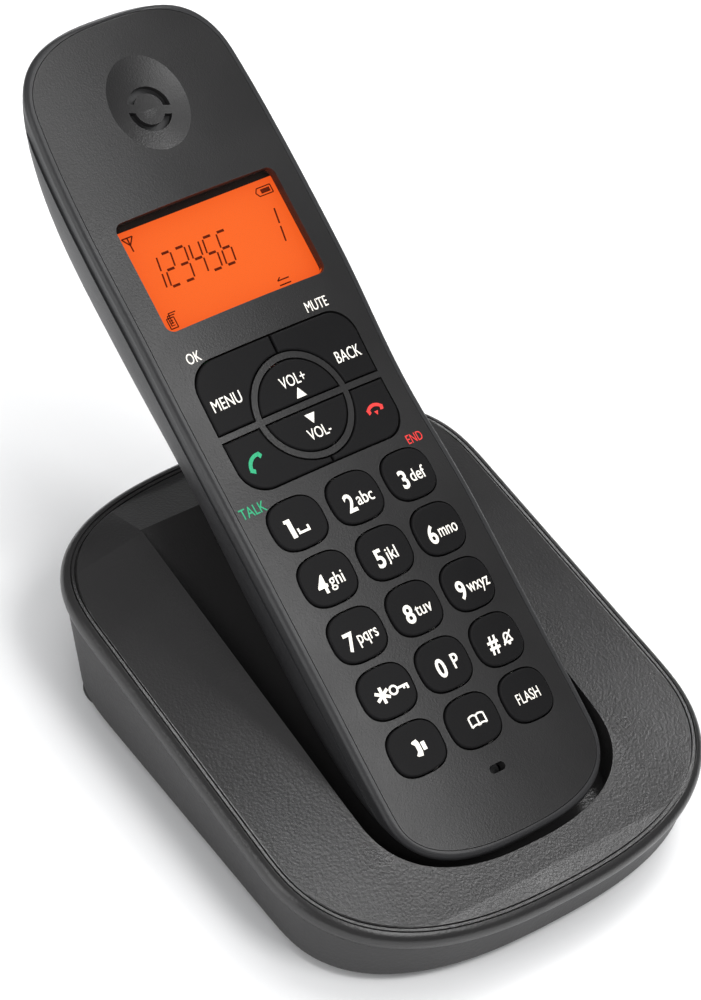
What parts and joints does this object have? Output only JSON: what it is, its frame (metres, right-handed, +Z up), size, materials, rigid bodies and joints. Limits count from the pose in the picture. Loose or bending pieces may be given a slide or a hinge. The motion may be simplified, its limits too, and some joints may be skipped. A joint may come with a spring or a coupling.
{
  "type": "cordless telephone",
  "caption": "Cordless desk telephone: slim keypad handset with a lit display, lying face up and leaning back in a low rounded charging base",
  "frame": {"origin": "bottom centre of the whole telephone's bounding box, on the table", "axes": "+X to the right, -Y toward the front where the microphone end lies, +Z up"},
  "size_m": [0.0902, 0.1558, 0.0779],
  "materials": {
    "black_case": "satin",
    "key_rubber": "satin",
    "clear_window": "polished",
    "display_glass": "polished",
    "light_guide": "satin",
    "sounder": "satin",
    "board": "satin",
    "dome_film": "satin",
    "cell_wrap": "gloss",
    "plated_metal": "satin",
    "foot_rubber": "matte",
    "socket_plastic": "gloss"
  },
  "bodies": {
    "base": {"base_housing": "black_case", "base_top_cover": "black_case", "base_feet": "foot_rubber", "base_screws": "plated_metal", "base_board": "board", "line_socket": "socket_plastic", "power_socket": "socket_plastic"},
    "handset": {"handset_front_cover": "black_case", "handset_rear_cover": "black_case", "battery_door": "black_case", "display_window": "clear_window", "display_glass": "display_glass", "display_light_guide": "light_guide", "earpiece_speaker": "sounder", "microphone": "sounder", "loudspeaker": "sounder", "handset_board": "board", "dome_sheet": "dome_film", "battery_cells": "cell_wrap", "battery_contacts": "plated_metal", "handset_screws": "plated_metal", "handset_charge_pads": "plated_metal"},
    "key_1_body": {"key_1": "key_rubber"},
    "key_2_body": {"key_2": "key_rubber"},
    "key_3_body": {"key_3": "key_rubber"},
    "key_4_body": {"key_4": "key_rubber"},
    "key_5_body": {"key_5": "key_rubber"},
    "key_6_body": {"key_6": "key_rubber"},
    "key_7_body": {"key_7": "key_rubber"},
    "key_8_body": {"key_8": "key_rubber"},
    "key_9_body": {"key_9": "key_rubber"},
    "key_star_body": {"key_star": "key_rubber"},
    "key_0_body": {"key_0": "key_rubber"},
    "key_hash_body": {"key_hash": "key_rubber"},
    "key_speaker_body": {"key_speaker": "key_rubber"},
    "key_book_body": {"key_book": "key_rubber"},
    "key_flash_body": {"key_flash": "key_rubber"},
    "key_menu_body": {"key_menu": "key_rubber"},
    "key_back_body": {"key_back": "key_rubber"},
    "key_talk_body": {"key_talk": "key_rubber"},
    "key_end_body": {"key_end": "key_rubber"},
    "key_up_body": {"key_up": "key_rubber"},
    "key_down_body": {"key_down": "key_rubber"},
    "charge_pin_left_body": {"charge_pin_left": "plated_metal"},
    "charge_pin_right_body": {"charge_pin_right": "plated_metal"}
  },
  "joints": [
    {"name": "handset_lift", "type": "slide", "parent": "base", "child": "handset", "axis": [0, 0, 1], "range_m": [0, 0.09]},
    {"name": "key_1_press", "type": "slide", "parent": "handset", "child": "key_1_body", "axis": [0, 0.4099, -0.9121], "range_m": [0, 0.0005], "stiffness_N_per_m": 400, "springref_m": -0.0006},
    {"name": "key_2_press", "type": "slide", "parent": "handset", "child": "key_2_body", "axis": [0, 0.4099, -0.9121], "range_m": [0, 0.0005], "stiffness_N_per_m": 400, "springref_m": -0.0006},
    {"name": "key_3_press", "type": "slide", "parent": "handset", "child": "key_3_body", "axis": [0, 0.4099, -0.9121], "range_m": [0, 0.0005], "stiffness_N_per_m": 400, "springref_m": -0.0006},
    {"name": "key_4_press", "type": "slide", "parent": "handset", "child": "key_4_body", "axis": [0, 0.4099, -0.9121], "range_m": [0, 0.0005], "stiffness_N_per_m": 400, "springref_m": -0.0006},
    {"name": "key_5_press", "type": "slide", "parent": "handset", "child": "key_5_body", "axis": [0, 0.4099, -0.9121], "range_m": [0, 0.0005], "stiffness_N_per_m": 400, "springref_m": -0.0006},
    {"name": "key_6_press", "type": "slide", "parent": "handset", "child": "key_6_body", "axis": [0, 0.4099, -0.9121], "range_m": [0, 0.0005], "stiffness_N_per_m": 400, "springref_m": -0.0006},
    {"name": "key_7_press", "type": "slide", "parent": "handset", "child": "key_7_body", "axis": [0, 0.4099, -0.9121], "range_m": [0, 0.0005], "stiffness_N_per_m": 400, "springref_m": -0.0006},
    {"name": "key_8_press", "type": "slide", "parent": "handset", "child": "key_8_body", "axis": [0, 0.4099, -0.9121], "range_m": [0, 0.0005], "stiffness_N_per_m": 400, "springref_m": -0.0006},
    {"name": "key_9_press", "type": "slide", "parent": "handset", "child": "key_9_body", "axis": [0, 0.4099, -0.9121], "range_m": [0, 0.0005], "stiffness_N_per_m": 400, "springref_m": -0.0006},
    {"name": "key_star_press", "type": "slide", "parent": "handset", "child": "key_star_body", "axis": [0, 0.4099, -0.9121], "range_m": [0, 0.0005], "stiffness_N_per_m": 400, "springref_m": -0.0006},
    {"name": "key_0_press", "type": "slide", "parent": "handset", "child": "key_0_body", "axis": [0, 0.4099, -0.9121], "range_m": [0, 0.0005], "stiffness_N_per_m": 400, "springref_m": -0.0006},
    {"name": "key_hash_press", "type": "slide", "parent": "handset", "child": "key_hash_body", "axis": [0, 0.4099, -0.9121], "range_m": [0, 0.0005], "stiffness_N_per_m": 400, "springref_m": -0.0006},
    {"name": "key_speaker_press", "type": "slide", "parent": "handset", "child": "key_speaker_body", "axis": [0, 0.4099, -0.9121], "range_m": [0, 0.0005], "stiffness_N_per_m": 400, "springref_m": -0.0006},
    {"name": "key_book_press", "type": "slide", "parent": "handset", "child": "key_book_body", "axis": [0, 0.4099, -0.9121], "range_m": [0, 0.0005], "stiffness_N_per_m": 400, "springref_m": -0.0006},
    {"name": "key_flash_press", "type": "slide", "parent": "handset", "child": "key_flash_body", "axis": [0, 0.4099, -0.9121], "range_m": [0, 0.0005], "stiffness_N_per_m": 400, "springref_m": -0.0006},
    {"name": "key_menu_press", "type": "slide", "parent": "handset", "child": "key_menu_body", "axis": [0, 0.4099, -0.9121], "range_m": [0, 0.0005], "stiffness_N_per_m": 400, "springref_m": -0.0006},
    {"name": "key_back_press", "type": "slide", "parent": "handset", "child": "key_back_body", "axis": [0, 0.4099, -0.9121], "range_m": [0, 0.0005], "stiffness_N_per_m": 400, "springref_m": -0.0006},
    {"name": "key_talk_press", "type": "slide", "parent": "handset", "child": "key_talk_body", "axis": [0, 0.4099, -0.9121], "range_m": [0, 0.0005], "stiffness_N_per_m": 400, "springref_m": -0.0006},
    {"name": "key_end_press", "type": "slide", "parent": "handset", "child": "key_end_body", "axis": [0, 0.4099, -0.9121], "range_m": [0, 0.0005], "stiffness_N_per_m": 400, "springref_m": -0.0006},
    {"name": "key_up_press", "type": "slide", "parent": "handset", "child": "key_up_body", "axis": [0, 0.4099, -0.9121], "range_m": [0, 0.0005], "stiffness_N_per_m": 400, "springref_m": -0.0006},
    {"name": "key_down_press", "type": "slide", "parent": "handset", "child": "key_down_body", "axis": [0, 0.4099, -0.9121], "range_m": [0, 0.0005], "stiffness_N_per_m": 400, "springref_m": -0.0006},
    {"name": "charge_pin_left_spring", "type": "slide", "parent": "base", "child": "charge_pin_left_body", "axis": [0, -0.2517, -0.9678], "range_m": [0, 0.0005], "stiffness_N_per_m": 200, "springref_m": -0.001},
    {"name": "charge_pin_right_spring", "type": "slide", "parent": "base", "child": "charge_pin_right_body", "axis": [0, -0.2517, -0.9678], "range_m": [0, 0.0005], "stiffness_N_per_m": 200, "springref_m": -0.001}
  ]
}
